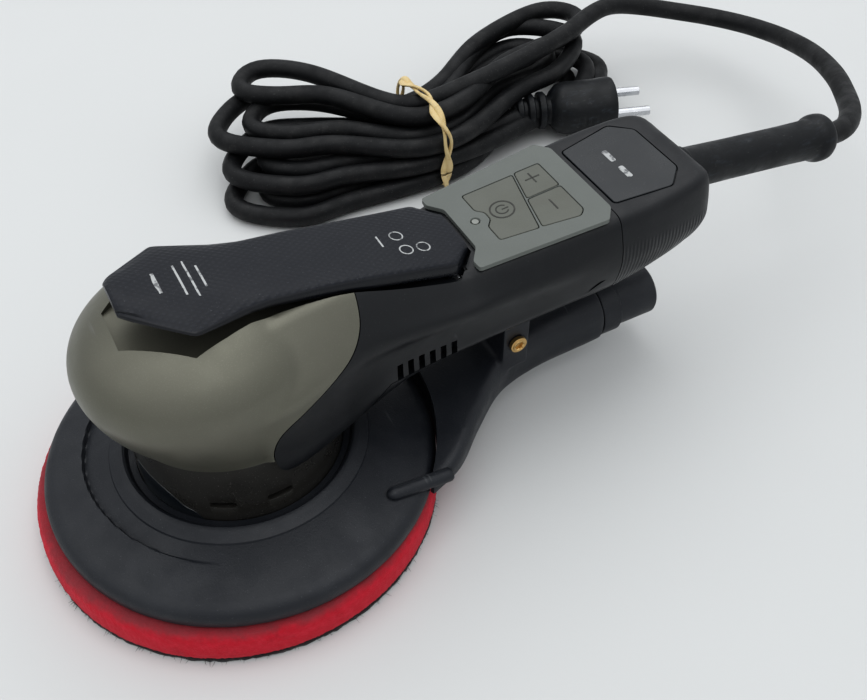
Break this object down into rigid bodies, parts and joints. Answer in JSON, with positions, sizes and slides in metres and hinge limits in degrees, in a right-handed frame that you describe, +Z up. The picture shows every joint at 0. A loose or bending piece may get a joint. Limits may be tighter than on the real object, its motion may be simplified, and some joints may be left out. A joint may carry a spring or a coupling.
{
  "type": "dual action polisher",
  "caption": "Corded random-orbit polisher: round red hook pad under a dust shroud, motor dome, paddle switch, slim handle with keypad, hose spigot and tied cord.",
  "frame": {"origin": "centre of the pad's working face, on the surface that the machine stands on", "axes": "+X from the pad towards the tail of the handle, +Z up, the dust shroud above the pad"},
  "size_m": [0.4331, 0.2922, 0.1154],
  "materials": {
    "hook": "matte",
    "foam": "matte",
    "plate": "matte",
    "steel": "satin",
    "bearing": "satin",
    "brass": "satin",
    "cast": "matte",
    "fan": "satin",
    "core": "satin",
    "magnet": "satin",
    "board": "matte",
    "copper": "satin",
    "collar": "satin",
    "dome": "satin",
    "black": "satin",
    "badge": "satin",
    "keypad": "matte",
    "led": "satin",
    "paddle": "matte",
    "white": "matte",
    "green": "matte",
    "capacitor": "satin",
    "aluminium": "satin",
    "cord": "matte",
    "shroud": "matte",
    "rubber": "matte",
    "band": "matte"
  },
  "bodies": {
    "housing": {"lower_bearing_outer": "bearing", "lower_bearing_cage": "brass", "upper_bearing_outer": "bearing", "upper_bearing_cage": "brass", "bearing_flange": "cast", "motor_cap": "board", "stator_core": "core", "stator_winding": "copper", "lower_housing": "collar", "dome_cover": "dome", "handle_upper_shell": "black", "handle_lower_shell": "black", "tail_housing": "black", "badge_plate": "badge", "keypad_panel": "keypad", "status_led": "led", "keypad_board": "board", "paddle_pin": "steel", "paddle_spring": "steel", "switch_body": "board", "control_board": "green", "capacitor": "capacitor", "heat_sink": "aluminium", "cord_inner": "cord", "cord_clamp": "board", "clamp_screw_left": "steel", "clamp_screw_right": "steel", "shroud_ring": "shroud", "dust_duct": "shroud", "duct_screw": "brass", "hose_spigot": "shroud", "brake_ring": "rubber", "cord_sleeve": "rubber", "cord_lead": "cord", "cord_hank": "cord", "rubber_band": "band", "cord_plug": "rubber", "plug_pin_left": "steel", "plug_pin_right": "steel"},
    "rotor": {"rotor_shaft": "steel", "rotor_core": "core", "rotor_magnet": "magnet", "eccentric_carrier": "cast", "counterweight": "brass", "dust_fan": "fan", "lower_bearing_inner": "bearing", "upper_bearing_inner": "bearing", "pad_bearing_outer": "bearing", "pad_bearing_cage": "brass"},
    "pad": {"hook_face": "hook", "pad_foam": "foam", "pad_plate": "plate", "pad_stud": "steel", "pad_spindle": "steel", "pad_bearing_inner": "bearing"},
    "paddle": {"paddle_lever": "paddle"},
    "plunger": {"switch_plunger": "white"},
    "key_power_body": {"key_power": "keypad"},
    "key_plus_body": {"key_plus": "keypad"},
    "key_minus_body": {"key_minus": "keypad"}
  },
  "joints": [
    {"name": "rotor_spin", "type": "hinge", "parent": "housing", "child": "rotor", "pos_m": [0.0025, 0, 0.05], "axis": [0, 0, 1], "continuous": true},
    {"name": "pad_spin", "type": "hinge", "parent": "rotor", "child": "pad", "pos_m": [0, 0, 0.02], "axis": [0, 0, 1], "continuous": true},
    {"name": "paddle_press", "type": "hinge", "parent": "housing", "child": "paddle", "pos_m": [0.084, 0, 0.0848], "axis": [0, -1, 0], "range_deg": [0, 4.1], "stiffness_Nm_per_rad": 6, "springref_deg": -2.86, "deforming": ["paddle_spring"]},
    {"name": "plunger_slide", "type": "slide", "parent": "housing", "child": "plunger", "axis": [0, 0, -1], "range_m": [0, 0.00205]},
    {"name": "key_power", "type": "slide", "parent": "housing", "child": "key_power_body", "axis": [0, 0, -1], "range_m": [0, 0.0006], "stiffness_N_per_m": 900},
    {"name": "key_plus", "type": "slide", "parent": "housing", "child": "key_plus_body", "axis": [0, 0, -1], "range_m": [0, 0.0006], "stiffness_N_per_m": 900},
    {"name": "key_minus", "type": "slide", "parent": "housing", "child": "key_minus_body", "axis": [0, 0, -1], "range_m": [0, 0.0006], "stiffness_N_per_m": 900}
  ],
  "couplings": [
    {"joint": "plunger_slide", "follows": "paddle_press", "m_per_rad": 0.028}
  ]
}
